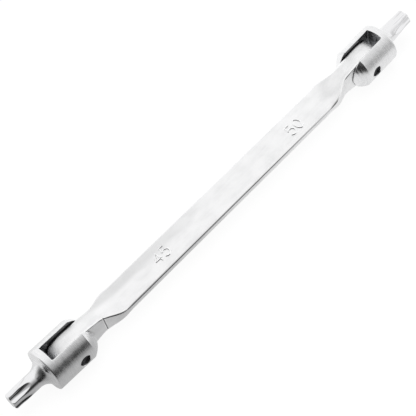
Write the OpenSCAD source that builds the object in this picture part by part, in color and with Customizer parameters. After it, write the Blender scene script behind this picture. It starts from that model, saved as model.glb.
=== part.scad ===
// Double-ended swivel wrench with six-lobe drive ends, sizes 45 and 50.
// A flat forged bar ends in two tongues. Each tongue carries a slotted round head on a cross pin, and two
// spring-loaded balls in the tongue rub on the cheeks of the slot, so that a head stays where it is turned.
// Row frame: X along the tool with the size 50 end at +X, Y along the pivot pins, Z up.
// The origin is under the middle of the tool, on the surface that it lies on. Each head lies on its front
// ring and on the rear ends of its two cheeks, which tips its drive end up by a few degrees.

/* [Handle bar] */
// Distance between the two pivot pins
pivot_span = 198; // [120:1:260]
// Width of the flat bar
bar_width = 15.8; // [13:0.1:20]
// Thickness of the flat bar
bar_thickness = 3.8; // [3:0.1:6]
// Rounding of the bar's long edges
edge_rounding = 1; // [0.3:0.1:1.4]
// Height of a tongue's top above its pivot
knuckle_rise = 7.5; // [6.5:0.1:8.5]
// From a pivot to the end of its tongue
nose_reach = 9.5; // [7.5:0.1:10.5]
// From a pivot to where the bar becomes flat
neck_length = 32; // [28:0.5:45]
// From a pivot to where the tongue starts to widen
flare_start = 14.5; // [13.5:0.5:20]
// From a pivot to where the bar has its full width
flare_end = 28; // [24:0.5:40]

/* [Swivel heads] */
// Diameter of both heads
head_diameter = 21.3; // [20:0.1:26]
// How much the rounded rear of a head, about its pivot, exceeds the head's radius
dome_excess = 1.25; // [0.8:0.05:2.5]
// Width of the slot for the tongue
slot_width = 8.6; // [7.5:0.1:9.5]
// Gap between the end of the tongue and the floor of the slot
nose_gap = 1.9; // [1.2:0.1:5]
// Solid length between the floor of the slot and the front shoulder
slot_floor = 3.6; // [2.5:0.1:8]
// Rounding of the front rim
rim_rounding = 0.6; // [0.2:0.1:1]

/* [Pivots] */
// Diameter of the pivot pins
pin_diameter = 5.4; // [4:0.1:6]
// How deep the ends of a pin lie under the head's surface
pin_recess = 1.4; // [0.5:0.1:3]
// Chamfer on the ends of a pin
pin_chamfer = 0.4; // [0.1:0.1:0.8]
// Countersink around the pin holes in a head
hole_chamfer = 0.5; // [0.2:0.1:1]
// Radial running clearance of a pin in its tongue
pin_clearance = 0.05; // [0.02:0.01:0.1]
// Clearance between a tongue and each cheek of its slot
cheek_clearance = 0.3; // [0.2:0.05:0.5]

/* [Friction brakes] */
// Diameter of the friction balls
ball_diameter = 2.5; // [2:0.1:2.8]
// From a pivot back to the cross bore of the balls
ball_offset = 5.6; // [5:0.1:7]
// Radial clearance of a ball in its bore
ball_clearance = 0.05; // [0.02:0.01:0.1]
// Air between a ball and the cheek that it rubs on
ball_gap = 0.04; // [0.02:0.01:0.1]
// Wire diameter of a friction spring
spring_wire = 0.4; // [0.3:0.05:0.5]
// Coils of a friction spring
spring_coils = 3.5; // [2.5:0.5:4]

/* [Drive end 45] */
// Size 45: across the lobes
lobes_45 = 7.82; // [7.7:0.01:7.93]
// Size 45: across the flutes
flutes_45 = 5.52; // [5.4:0.01:5.64]
// Size 45: radius of a flute
flute_radius_45 = 1.796; // [1.7:0.01:1.9]
// Size 45: from the shoulder of the head to the tip
reach_45 = 19.2; // [17:0.1:40]
// Size 45: length of the straight flutes
flute_length_45 = 2.2; // [2:0.1:9]
// Size 45: diameter of the round neck
neck_45 = 8.2; // [8:0.1:10]
// Size 45: turn of the lobes about the axis of the bit
roll_45 = 4; // [-30:1:30]

/* [Drive end 50] */
// Size 50: across the lobes
lobes_50 = 8.83; // [8.7:0.01:8.95]
// Size 50: across the flutes
flutes_50 = 6.34; // [6.2:0.01:6.45]
// Size 50: radius of a flute
flute_radius_50 = 1.816; // [1.75:0.01:1.95]
// Size 50: from the shoulder of the head to the tip
reach_50 = 19.2; // [17:0.1:40]
// Size 50: length of the straight flutes
flute_length_50 = 3.6; // [2:0.1:10]
// Size 50: diameter of the round neck
neck_50 = 9.2; // [9:0.1:11]
// Size 50: turn of the lobes about the axis of the bit
roll_50 = 29; // [-30:1:30]

/* [Both drive ends] */
// Radius of the arc in which a flute runs out
runout_radius = 28; // [4:0.5:36]
// Length of the taper from the round neck to the lobes
neck_taper = 3; // [0.5:0.1:3.5]
// Chamfer around the tip
tip_chamfer = 0.6; // [0.2:0.1:1]
// Flat land between the flare and the rim of the head
rim_land = 0.3; // [0.1:0.1:1]

/* [Hidden] */
$fn = 96;

LEFT = 1;
RIGHT = -1;
LOBE_COUNT = 6;
LOBE_PITCH = 360 / LOBE_COUNT;
CUT_PAST = 1;
RUNOUT_LEAD = 2;
CORNER_STEPS = 5;
NOSE_STEPS = 12;
NOSE_BLUNT = 2 / 3;
NECK_STEPS = 18;
FLARE_STEPS = 6;
COIL_RINGS = 8;
KNUCKLE_PULL = 0.625;
KNUCKLE_FALL = 0.84;
BAR_PULL = 0.75;
WIRE_SIDES = 6;
ROUNDING_LIMIT = 0.9;
LOBE_BLEND = 0.03;

CHROME = [0.86, 0.86, 0.87];
DARK_STEEL = [0.16, 0.16, 0.17];
BRIGHT_STEEL = [0.72, 0.73, 0.75];

head_radius = head_diameter / 2;
dome_radius = head_radius + dome_excess;
slot_depth = nose_reach + nose_gap;
shoulder = slot_depth + slot_floor;
tongue_width = slot_width - 2 * cheek_clearance;
pin_radius = pin_diameter / 2;
pin_length = head_diameter - 2 * pin_recess;
tip_45 = shoulder + reach_45;
tip_50 = shoulder + reach_50;

// The head's lowest points: its ring in front of the slot, and the slot's edges where the rear rounds off
cheek_drop = sqrt(head_radius * head_radius - slot_width * slot_width / 4);
cheek_reach = sqrt(dome_radius * dome_radius - head_radius * head_radius);
lying_tilt = atan((head_radius - cheek_drop) / (slot_depth + cheek_reach));
axis_height = head_radius * cos(lying_tilt) - slot_depth * sin(lying_tilt);
overall = pivot_span + (tip_45 + tip_50) * cos(lying_tilt);
pivot_x_45 = -overall / 2 + tip_45 * cos(lying_tilt);
pivot_x_50 = overall / 2 - tip_50 * cos(lying_tilt);

ball_radius = ball_diameter / 2;
ball_centre = slot_width / 2 - ball_gap - ball_radius;
wire_radius = spring_wire / 2;
coil_radius = ball_radius - wire_radius - ball_clearance;
wire_to_ball = ball_radius + wire_radius + ball_clearance;
spring_half = ball_centre - sqrt(wire_to_ball * wire_to_ball - coil_radius * coil_radius);

// Places its children at a pivot, with +Z out of that end of the bar and Y along the pin
module at_pivot_45() {
    translate([pivot_x_45, 0, axis_height]) rotate([0, -90, 0]) children();
}

module at_pivot_50() {
    translate([pivot_x_50, 0, axis_height]) rotate([0, 90, 0]) children();
}

// The same for what turns with a head, with +Z out along its drive end
module with_head_45() {
    at_pivot_45() rotate([0, lying_tilt, 0]) children();
}

module with_head_50() {
    at_pivot_50() rotate([0, -lying_tilt, 0]) children();
}

// Turns a shape that stands on Z so that it lies along the pivot pin
module along_pin() {
    rotate([90, 0, 0]) children();
}

// The neck's upper edge is a cubic curve from the top of the knuckle to the face of the bar,
// as [distance from the pivot, half of the height]
function cubic(a, b, c, d, t) =
    pow(1 - t, 3) * a + 3 * pow(1 - t, 2) * t * b + 3 * (1 - t) * t * t * c + pow(t, 3) * d;

function neck_edge(t) = [
    cubic(0, KNUCKLE_PULL * neck_length, BAR_PULL * neck_length, neck_length, t),
    cubic(knuckle_rise, KNUCKLE_FALL * knuckle_rise, bar_thickness / 2, bar_thickness / 2, t)
];

// The end of the tongue, a blunt oval from its tip to above the pivot
function nose_edge(angle) = [
    -nose_reach * pow(cos(angle), NOSE_BLUNT),
    knuckle_rise * pow(sin(angle), NOSE_BLUNT)
];

// Half of the width at a distance from the pivot: a half cosine wave from tongue to bar
function half_width(distance) =
    let (share = min(1, max(0, (distance - flare_start) / (flare_end - flare_start))))
    tongue_width / 2 + (bar_width - tongue_width) / 2 * (1 - cos(180 * share)) / 2;

// The bar is already flat where its width still grows, if the flare is longer than the neck
function flare_edge(share) = [neck_length + share * (flare_end - neck_length), bar_thickness / 2];

tongue_edge = concat(
    [for (i = [0.5 : NOSE_STEPS]) nose_edge(90 * i / NOSE_STEPS)],
    [for (i = [0 : NECK_STEPS]) neck_edge(i / NECK_STEPS)],
    [if (flare_end > neck_length) for (i = [1 : FLARE_STEPS]) flare_edge(i / FLARE_STEPS)]
);
last_edge = len(tongue_edge) - 1;

// Cross sections of the whole bar, as [x, half of the width, half of the height], from end to end
bar_sections = concat(
    [for (p = tongue_edge) [pivot_x_45 + p[0], half_width(p[0]), p[1]]],
    [
        for (i = [0 : last_edge])
            let (p = tongue_edge[last_edge - i])
            [pivot_x_50 - p[0], half_width(p[0]), p[1]]
    ]
);

// A rounded rectangle across the bar, counted round from the upper left corner
function section_points(section) =
    let (rounding = min(edge_rounding, ROUNDING_LIMIT * section[2]))
    [
        for (corner = [0 : 3], step = [0 : CORNER_STEPS])
            let (
                angle = 90 * corner + 90 * step / CORNER_STEPS,
                side = corner == 0 || corner == 3 ? LEFT : RIGHT,
                level = corner < 2 ? 1 : -1
            )
            [
                section[0],
                side * (section[1] - rounding) + rounding * cos(angle),
                level * (section[2] - rounding) + rounding * sin(angle)
            ]
    ];

// A closed skin through rings of equal length
module skin(rings) {
    count = len(rings[0]);
    last = len(rings) - 1;
    points = [for (ring = rings, point = ring) point];
    sides = [
        for (k = [0 : last - 1], i = [0 : count - 1])
            let (a = k * count + i, b = k * count + (i + 1) % count)
            each [[a, b + count, b], [a, a + count, b + count]]
    ];
    first_cap = [for (i = [0 : count - 1]) i];
    last_cap = [for (i = [0 : count - 1]) (last + 1) * count - 1 - i];
    polyhedron(points, concat(sides, [first_cap, last_cap]), convexity = 6);
}

module pin_and_ball_bores() {
    along_pin() cylinder(r = pin_radius + pin_clearance, h = bar_width + 2 * CUT_PAST, center = true);
    translate([0, 0, -ball_offset])
        along_pin() cylinder(r = ball_radius + ball_clearance, h = bar_width + 2 * CUT_PAST, center = true);
}

module handle_bar() {
    color(CHROME)
    difference() {
        translate([0, 0, axis_height]) skin([for (section = bar_sections) section_points(section)]);
        at_pivot_45() pin_and_ball_bores();
        at_pivot_50() pin_and_ball_bores();
    }
}

// Half outline of a head, turned about its axis: domed rear, cylinder, rounded rim, flare and round neck
module head_outline(neck_radius, lobe_radius, neck_end) {
    flare = head_radius - rim_rounding - rim_land - neck_radius;
    intersection() {
        translate([0, -dome_radius]) square([head_radius, dome_radius]);
        circle(dome_radius);
    }
    square([head_radius, shoulder - rim_rounding]);
    square([head_radius - rim_rounding, shoulder]);
    intersection() {
        translate([head_radius - rim_rounding, shoulder - rim_rounding]) circle(rim_rounding);
        square([head_radius, shoulder]);
    }
    polygon([
        [0, shoulder],
        [neck_radius, shoulder],
        [neck_radius, neck_end - neck_taper],
        [lobe_radius, neck_end],
        [0, neck_end]
    ]);
    difference() {
        translate([0, shoulder]) square([neck_radius + flare, flare]);
        translate([neck_radius + flare, shoulder + flare]) circle(flare);
    }
}

// Six-lobe outline: round lobes that run over into round flutes
module lobe_outline(lobe_radius, flute_floor, flute_radius) {
    flute_place = flute_floor + flute_radius;
    reach = flute_place * cos(LOBE_PITCH / 2);
    spread = lobe_radius * lobe_radius + flute_place * flute_place - 2 * lobe_radius * reach;
    rounding = (spread - flute_radius * flute_radius) / (2 * (lobe_radius + flute_radius - reach));
    lobe_place = lobe_radius - rounding;
    difference() {
        union() {
            polygon([
                for (i = [0 : LOBE_COUNT - 1], side = [RIGHT, LEFT])
                    let (a = i * LOBE_PITCH)
                    [
                        lobe_place * cos(a) - side * rounding * sin(a),
                        lobe_place * sin(a) + side * rounding * cos(a)
                    ]
            ]);
            for (i = [0 : LOBE_COUNT - 1])
                rotate(i * LOBE_PITCH) translate([lobe_place - LOBE_BLEND, 0]) circle(rounding + LOBE_BLEND);
        }
        for (i = [0 : LOBE_COUNT - 1])
            rotate((i + 0.5) * LOBE_PITCH) translate([flute_place, 0]) circle(flute_radius);
    }
}

// Six arcs in which the flutes rise out of the neck, deepest at the level z = 0 and going down from just above it
module flute_runouts(flute_floor, flute_radius, neck_radius) {
    rise = neck_radius - flute_floor + CUT_PAST;
    for (i = [0 : LOBE_COUNT - 1])
        rotate((i + 0.5) * LOBE_PITCH)
            translate([flute_floor + runout_radius, 0, 0])
                rotate([0, 180, 0])
                    along_pin()
                        rotate(-RUNOUT_LEAD)
                            rotate_extrude(angle = RUNOUT_LEAD + acos(1 - rise / runout_radius))
                                translate([runout_radius - flute_radius, 0]) circle(flute_radius);
}

// A cone of 45 degrees that breaks the edge of a pin hole, with its rim at z = 0
module countersink() {
    translate([0, 0, -hole_chamfer - CUT_PAST])
        cylinder(
            r1 = pin_radius - CUT_PAST,
            r2 = pin_radius + hole_chamfer + CUT_PAST,
            h = hole_chamfer + 2 * CUT_PAST
        );
}

module swivel_head(lobes, flutes, flute_radius, reach, flute_length, neck, roll) {
    lobe_radius = lobes / 2;
    flute_floor = flutes / 2;
    tip = shoulder + reach;
    runout_level = tip - flute_length;
    difference() {
        rotate_extrude() head_outline(neck / 2, lobe_radius, runout_level);
        translate([0, 0, runout_level]) rotate(roll) flute_runouts(flute_floor, flute_radius, neck / 2);
        translate([-head_diameter, -slot_width / 2, -dome_radius - CUT_PAST])
            cube([2 * head_diameter, slot_width, dome_radius + CUT_PAST + slot_depth]);
        along_pin() cylinder(r = pin_radius, h = head_diameter + 2 * CUT_PAST, center = true);
        for (side = [LEFT, RIGHT])
            rotate([-90 * side, 0, 0])
                translate([0, 0, head_radius]) countersink();
    }
    intersection() {
        translate([0, 0, runout_level])
            rotate(roll) linear_extrude(flute_length) lobe_outline(lobe_radius, flute_floor, flute_radius);
        union() {
            translate([0, 0, runout_level]) cylinder(r = neck, h = flute_length - tip_chamfer);
            translate([0, 0, tip - tip_chamfer])
                cylinder(r1 = lobe_radius, r2 = lobe_radius - tip_chamfer, h = tip_chamfer);
        }
    }
}

module swivel_head_45() {
    color(CHROME)
    with_head_45()
        swivel_head(lobes_45, flutes_45, flute_radius_45, reach_45, flute_length_45, neck_45, roll_45);
}

module swivel_head_50() {
    color(CHROME)
    with_head_50()
        swivel_head(lobes_50, flutes_50, flute_radius_50, reach_50, flute_length_50, neck_50, roll_50);
}

module pivot_pin() {
    straight = pin_length - 2 * pin_chamfer;
    along_pin() {
        cylinder(r = pin_radius, h = straight, center = true);
        for (side = [LEFT, RIGHT])
            rotate([side == LEFT ? 0 : 180, 0, 0])
                translate([0, 0, straight / 2])
                    cylinder(r1 = pin_radius, r2 = pin_radius - pin_chamfer, h = pin_chamfer);
    }
}

module pivot_pin_45() {
    color(DARK_STEEL) with_head_45() pivot_pin();
}

module pivot_pin_50() {
    color(DARK_STEEL) with_head_50() pivot_pin();
}

module friction_ball(side) {
    translate([0, side * ball_centre, -ball_offset]) sphere(ball_radius);
}

module friction_ball_45_left() {
    color(BRIGHT_STEEL) at_pivot_45() friction_ball(LEFT);
}

module friction_ball_45_right() {
    color(BRIGHT_STEEL) at_pivot_45() friction_ball(RIGHT);
}

module friction_ball_50_left() {
    color(BRIGHT_STEEL) at_pivot_50() friction_ball(LEFT);
}

module friction_ball_50_right() {
    color(BRIGHT_STEEL) at_pivot_50() friction_ball(RIGHT);
}

// One ring of the spring's wire, square to its helix about Y
function wire_ring(share) =
    let (
        angle = 360 * spring_coils * share,
        turn_length = 2 * PI * coil_radius * spring_coils,
        slope = atan(2 * spring_half / turn_length),
        outward = [cos(angle), 0, -sin(angle)],
        forward = [-sin(angle) * cos(slope), sin(slope), -cos(angle) * cos(slope)],
        upward = cross(forward, outward),
        middle = coil_radius * outward + [0, spring_half * (2 * share - 1), 0]
    )
    [
        for (i = [0 : WIRE_SIDES - 1])
            let (a = 360 * i / WIRE_SIDES)
            middle + wire_radius * (cos(a) * outward + sin(a) * upward)
    ];

module friction_spring() {
    rings = round(COIL_RINGS * spring_coils);
    translate([0, 0, -ball_offset]) skin([for (k = [0 : rings]) wire_ring(k / rings)]);
}

module friction_spring_45() {
    color(BRIGHT_STEEL) at_pivot_45() friction_spring();
}

module friction_spring_50() {
    color(BRIGHT_STEEL) at_pivot_50() friction_spring();
}

handle_bar();
swivel_head_45();
swivel_head_50();
pivot_pin_45();
pivot_pin_50();
friction_ball_45_left();
friction_ball_45_right();
friction_ball_50_left();
friction_ball_50_right();
friction_spring_45();
friction_spring_50();
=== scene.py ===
"""Looks of the double-ended swivel wrench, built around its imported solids.

Every shape is worked out in millimetres. A head's own coordinates are d, outward along its drive end from
the pivot, y along the pin and h up. The bar's are the distance inward from a pivot, y and the height.
"""

import logging
import math
from dataclasses import dataclass
from enum import Enum
from typing import Any, Callable, Sequence

import bmesh
import bpy
import numpy as np
from mathutils import Matrix, Vector


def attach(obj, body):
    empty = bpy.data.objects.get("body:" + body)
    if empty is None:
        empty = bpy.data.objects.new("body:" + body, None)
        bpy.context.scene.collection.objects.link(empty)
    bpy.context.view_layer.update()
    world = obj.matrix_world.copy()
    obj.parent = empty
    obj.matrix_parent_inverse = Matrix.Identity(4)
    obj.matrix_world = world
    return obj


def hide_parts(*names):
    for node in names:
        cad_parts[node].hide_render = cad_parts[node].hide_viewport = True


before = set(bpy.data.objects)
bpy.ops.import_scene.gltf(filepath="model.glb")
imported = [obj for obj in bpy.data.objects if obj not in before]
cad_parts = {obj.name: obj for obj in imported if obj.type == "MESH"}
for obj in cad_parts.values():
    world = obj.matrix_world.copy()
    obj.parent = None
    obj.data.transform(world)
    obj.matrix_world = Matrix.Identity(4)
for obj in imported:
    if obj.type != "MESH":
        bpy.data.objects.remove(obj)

Array = np.ndarray
Material = bpy.types.Material
Triple = tuple[float, float, float]
Pair = tuple[float, float]

MM = 0.001
WELD = 2e-7
SHARP_EDGE = math.radians(24)
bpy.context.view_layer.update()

log = logging.getLogger("swivel_wrench")


class End(Enum):
    """The two ends of the tool, by the size of their drive."""

    SMALL = "45"
    LARGE = "50"

    @property
    def outward(self) -> int:
        """Sign of the row's X towards this end."""
        return -1 if self is End.SMALL else 1

    @property
    def body(self) -> str:
        """Name of the body that swivels at this end."""
        return f"head_{self.value}"


class Side(Enum):
    """The two sides of the tool, by the sign of Y."""

    LEFT = 1
    RIGHT = -1


@dataclass(frozen=True)
class HeadForm:
    """Sizes that both heads share."""

    radius: float = 10.65
    dome: float = 11.9
    slot: float = 4.3
    floor: float = 11.4
    wall: float = 3.6
    reach: float = 19.2
    rim: float = 0.6
    land: float = 0.3
    pin: float = 2.7
    countersink: float = 0.5

    @property
    def shoulder(self) -> float:
        """How far the front of the ring lies from the pivot."""
        return self.floor + self.wall

    @property
    def tip(self) -> float:
        """How far the tip of the drive end lies from the pivot."""
        return self.shoulder + self.reach

    @property
    def cheek_reach(self) -> float:
        """How far behind the pivot the cylinder ends and the dome starts."""
        return math.sqrt(self.dome**2 - self.radius**2)

    @property
    def cheek_drop(self) -> float:
        """Height of the slot's edges above the axis."""
        return math.sqrt(self.radius**2 - self.slot**2)

    @property
    def tilt(self) -> float:
        """How far a head that lies on its ring and its cheeks tips its drive end up."""
        return math.atan((self.radius - self.cheek_drop) / (self.floor + self.cheek_reach))

    @property
    def axis_height(self) -> float:
        """Height of the pivots above the surface that the tool lies on."""
        return self.radius * math.cos(self.tilt) - self.floor * math.sin(self.tilt)


HEAD = HeadForm()
HALF_SPAN = 99.0
MARK_PLACES = {End.SMALL: (-41.4, 0.2), End.LARGE: (48.4, -0.9)}


@dataclass(frozen=True)
class Pivot:
    """One pivot of the tool, which places shapes in the row frame."""

    end: End

    @property
    def place(self) -> Array:
        """The pivot's own point in the row frame."""
        return np.array([self.end.outward * HALF_SPAN, 0.0, HEAD.axis_height])

    def on_head(self, points: Array) -> Array:
        """Turns a head's d, y, h into the row frame.

        Args:
            points: points whose last axis holds d, y and h.

        Returns:
            The same points in the row frame: pivot + d * outward + y * Y + h * upward.
        """
        sign, cosine, sine = self.end.outward, math.cos(HEAD.tilt), math.sin(HEAD.tilt)
        axes = np.array([[sign * cosine, 0, sine], [0, 1, 0], [-sign * sine, 0, cosine]])
        return points @ axes + self.place

    def on_bar(self, points: Array) -> Array:
        """Turns distance inward, y and height above the pivot into the row frame.

        Args:
            points: points whose last axis holds the three values.

        Returns:
            The same points in the row frame.
        """
        return points * np.array([-self.end.outward, 1.0, 1.0]) + self.place


@dataclass(frozen=True)
class Gap:
    """A block of quads that is left out of a grid, by its first and last row and column."""

    top: int
    bottom: int
    left: int
    right: int

    def outline(self, grid: Array) -> Array:
        """Takes the loop of grid points around the block.

        Args:
            grid: the grid's points, rows by columns by 3.

        Returns:
            The loop's points in order, n by 3.
        """
        block = grid[self.top : self.bottom + 1, self.left : self.right + 1]
        return np.concatenate([block[0, :-1], block[:-1, -1], block[-1, :0:-1], block[:0:-1, 0]])


class Skin:
    """Grids of points in millimetres that are sewn into one closed mesh."""

    def __init__(self, place: Callable[[Array], Array] = np.asarray) -> None:
        """Starts with no points and no faces.

        Args:
            place: turns the points of the next grids into the row frame, still in millimetres.
        """
        self.place = place
        self.points: list[Array] = []
        self.quads: list[Array] = []
        self.count = 0

    def add(self, grid: Array, ring: bool = False, gaps: Sequence[Gap] = ()) -> None:
        """Adds the quads between neighbouring rows and columns of a grid.

        Args:
            grid: points, rows by columns by 3.
            ring: whether the last column joins the first.
            gaps: blocks of quads to leave out.
        """
        rows, columns = grid.shape[:2]
        index = np.arange(rows * columns).reshape(rows, columns) + self.count
        if ring:
            index = np.concatenate([index, index[:, :1]], axis=1)
        quads = np.stack([index[:-1, :-1], index[1:, :-1], index[1:, 1:], index[:-1, 1:]], axis=-1)
        keep = np.ones(quads.shape[:2], bool)
        for gap in gaps:
            keep[gap.top : gap.bottom, gap.left : gap.right] = False
        self.points.append(self.place(grid.reshape(-1, 3)))
        self.quads.append(quads[keep])
        self.count += rows * columns

    def sew(self, name: str) -> bpy.types.Object:
        """Welds the grids' common edges and makes the piece.

        Args:
            name: the piece's name.

        Returns:
            The finished piece at the origin, smooth, with its sharp edges marked.
        """
        mesh = bpy.data.meshes.new(name)
        mesh.from_pydata(np.concatenate(self.points) * MM, [], np.concatenate(self.quads).tolist())
        work = bmesh.new()
        work.from_mesh(mesh)
        bmesh.ops.remove_doubles(work, verts=work.verts, dist=WELD)
        loose = [vertex for vertex in work.verts if not vertex.link_faces]
        bmesh.ops.delete(work, geom=loose, context="VERTS")
        bmesh.ops.recalc_face_normals(work, faces=work.faces)
        work.to_mesh(mesh)
        work.free()
        mesh.shade_smooth()
        mesh.set_sharp_from_angle(angle=SHARP_EDGE)
        return add_object(name, mesh)


def add_object(name: str, data: Any) -> bpy.types.Object:
    """Makes an object of the given data and links it to the scene.

    Args:
        name: the object's name.
        data: its mesh, camera or light.

    Returns:
        The object.
    """
    made = bpy.data.objects.new(name, data)
    bpy.context.scene.collection.objects.link(made)
    return made


def steps(*marks: float, counts: Sequence[int]) -> Array:
    """Joins even steps between marks into one row of values.

    Args:
        marks: the values at which the step changes.
        counts: how many steps lie between each mark and the next.

    Returns:
        All values from the first mark to the last.
    """
    spans = [np.linspace(a, b, n + 1)[1:] for a, b, n in zip(marks, marks[1:], counts)]
    return np.concatenate([[marks[0]], *spans])


def smooth_step(low: float, high: float, value: Array) -> Array:
    """A cubic S-curve: 3 s^2 - 2 s^3, with s the clipped share from low to high."""
    share = np.clip((value - low) / (high - low), 0, 1)
    return share * share * (3 - 2 * share)


def soft_min(first: Array, second: Array, width: float) -> Array:
    """The lesser of two values with a rounded change: half of a + b - sqrt((a - b)^2 + width^2)."""
    return 0.5 * (first + second - np.sqrt((first - second) ** 2 + width**2))


def full_turn(columns: int) -> Array:
    """Even angles round a whole turn."""
    return np.linspace(0, 2 * np.pi, columns, endpoint=False)


def circle(radius: Array | float, turn: Array, across: Array | float, middle: float = 0.0) -> Array:
    """Rings about the pin's direction: middle + radius * cos, across, radius * sin.

    Args:
        radius: the radius, one value, one per point or a column with one per ring.
        turn: the angle of each point.
        across: the place along the pin, in the same way as the radius.
        middle: place of the rings' centres along the first axis.

    Returns:
        The points of one ring, n by 3, or of a column of rings, rings by n by 3.
    """
    parts = np.broadcast_arrays(middle + radius * np.cos(turn), across, radius * np.sin(turn))
    return np.stack(parts, axis=-1)


def hole_loops(shell: Array, near: Gap, far: Gap, middle: float = 0.0) -> tuple[Array, ...]:
    """Takes the loops around the two gaps of a through hole, so that they run together.

    Args:
        shell: the grid that has the gaps.
        near: the gap whose loop leads.
        far: the gap whose loop is reversed, and shifted until it starts nearest to the other's start.
        middle: place of the hole's centre along the first axis.

    Returns:
        The near loop and its angles about the hole, then the far loop and its angles.
    """
    lead, back = near.outline(shell), far.outline(shell)[::-1]
    turn, back_turn = (np.arctan2(loop[:, 2], loop[:, 0] - middle) for loop in (lead, back))
    shift = -int(np.argmin(np.abs(np.exp(1j * back_turn) - np.exp(1j * turn[0]))))
    return lead, turn, np.roll(back, shift, axis=0), np.roll(back_turn, shift)


def fan(edge: Array, ring: Array, count: int, lift: Callable[[Array, Array], Array]) -> Array:
    """Carries the loop around a gap over to a hole's ring, by straight lines lifted onto the surface.

    Args:
        edge: the loop, n by 3.
        ring: the ring, n by 3.
        count: how many steps lie between them.
        lift: gives the place along the pin from the first and the last coordinate.

    Returns:
        A grid of count + 1 loops.
    """
    share = np.linspace(0, 1, count + 1)[:, None]
    first = (1 - share) * edge[:, 0] + share * ring[:, 0]
    last = (1 - share) * edge[:, 2] + share * ring[:, 2]
    return np.stack([first, lift(first, last), last], axis=-1)


class Number:
    """A number socket of a shader, on which sums are written as Python expressions."""

    def __init__(self, graph: "Graph", socket: bpy.types.NodeSocket) -> None:
        """Keeps the socket and the graph that new Math nodes go into."""
        self.graph = graph
        self.socket = socket

    def math(self, operation: str, *values: Any) -> "Number":
        """Adds one Math node.

        Args:
            operation: the node's operation.
            values: its inputs, numbers or Numbers.

        Returns:
            The node's result.
        """
        return self.graph.number("Math", dict(enumerate(values)), operation=operation)

    def __add__(self, other: Any) -> "Number":
        """Sum."""
        return self.math("ADD", self, other)

    def __sub__(self, other: Any) -> "Number":
        """Difference."""
        return self.math("SUBTRACT", self, other)

    def __rsub__(self, other: Any) -> "Number":
        """Difference from a number on the left."""
        return self.math("SUBTRACT", other, self)

    def __mul__(self, other: Any) -> "Number":
        """Product."""
        return self.math("MULTIPLY", self, other)

    __radd__, __rmul__ = __add__, __mul__

    def __abs__(self) -> "Number":
        """Value without its sign."""
        return self.math("ABSOLUTE", self)

    def most(self, other: Any) -> "Number":
        """The greater of two values."""
        return self.math("MAXIMUM", self, other)

    def root(self) -> "Number":
        """Square root."""
        return self.math("SQRT", self)

    def sine(self) -> "Number":
        """Sine of an angle in radians."""
        return self.math("SINE", self)

    def rise(self, low: float, high: float) -> "Number":
        """An S-curve between two values.

        Args:
            low: where the curve is 0.
            high: where it is 1; it may be less than low.

        Returns:
            The curve's value.
        """
        ends = {"To Min": 0.0, "To Max": 1.0} if low < high else {"To Min": 1.0, "To Max": 0.0}
        sockets = {"Value": self, "From Min": min(low, high), "From Max": max(low, high), **ends}
        return self.graph.number("MapRange", sockets, interpolation_type="SMOOTHSTEP")


@dataclass(frozen=True)
class Grain:
    """A noise: the size of its grains in millimetres, its finer layers and their strength."""

    size: Triple
    detail: float
    rough: float


class Graph:
    """The nodes of one material or world."""

    def __init__(self, tree: bpy.types.NodeTree) -> None:
        """Empties the tree and keeps it."""
        self.tree = tree
        tree.nodes.clear()

    def node(self, kind: str, sockets: dict[Any, Any] | None = None, **settings: Any) -> Any:
        """Adds any node: its settings first, then the values or links of its sockets.

        Args:
            kind: the node's type, without the ShaderNode in front.
            sockets: values, Numbers or sockets for its inputs, by name or index.
            settings: its own properties.

        Returns:
            The node.
        """
        made = self.tree.nodes.new(f"ShaderNode{kind}")
        for key, value in settings.items():
            setattr(made, key, value)
        for key, value in (sockets or {}).items():
            source = value.socket if isinstance(value, Number) else value
            if isinstance(source, bpy.types.NodeSocket):
                self.tree.links.new(source, made.inputs[key])
            else:
                made.inputs[key].default_value = source
        return made

    def number(self, kind: str, sockets: dict[Any, Any], **settings: Any) -> Number:
        """Adds a node and takes its first output as a Number.

        Args:
            kind: the node's type.
            sockets: values or links of its inputs.
            settings: its own properties.

        Returns:
            The output.
        """
        return Number(self, self.node(kind, sockets, **settings).outputs[0])

    def place(self, turn: float = 0.0, centre: Sequence[float] = (0, 0, 0)) -> Any:
        """Object coordinates in millimetres, centred on a point and turned about Y.

        Args:
            turn: angle about Y after centring.
            centre: the point in millimetres that becomes the origin.

        Returns:
            The vector socket.
        """
        source = self.node("TexCoord").outputs["Object"]
        turned = Matrix.Rotation(turn, 3, "Y") @ Vector(centre)
        mapping = {"Vector": source, "Location": -turned, "Rotation": (0, turn, 0), "Scale": [1 / MM] * 3}
        return self.node("Mapping", mapping).outputs[0]

    def axes(self, vector: Any) -> tuple[Number, Number, Number]:
        """The three parts of a vector socket."""
        x, y, z = self.node("SeparateXYZ", {0: vector}).outputs
        return Number(self, x), Number(self, y), Number(self, z)

    def noise(self, vector: Any, grain: Grain) -> Number:
        """Adds a noise.

        Args:
            vector: the coordinates in millimetres.
            grain: what the noise is like.

        Returns:
            The noise, about 0.5 on average.
        """
        mapping = {"Vector": vector, "Scale": [1 / part for part in grain.size]}
        stretched = self.node("Mapping", mapping).outputs[0]
        sockets = {"Vector": stretched, "Scale": 1.0, "Detail": grain.detail, "Roughness": grain.rough}
        return self.number("TexNoise", sockets)

    def blend(self, share: Number, low: Any, high: Any) -> Any:
        """Mixes two colours.

        Args:
            share: 0 for the first colour, 1 for the second.
            low: the first colour.
            high: the second colour.

        Returns:
            The colour socket.
        """
        first, second = ((*c, 1.0) if isinstance(c, tuple) else c for c in (low, high))
        return self.node("Mix", {0: share, 6: first, 7: second}, data_type="RGBA").outputs[2]

    def bump(self, height: Number, depth: float, strength: float = 1.0) -> Any:
        """A Bump node's normal, for a height of 0 to 1 that stands for depth millimetres."""
        sockets = {"Strength": strength, "Distance": depth * MM, "Height": height}
        return self.node("Bump", sockets).outputs[0]


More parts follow.
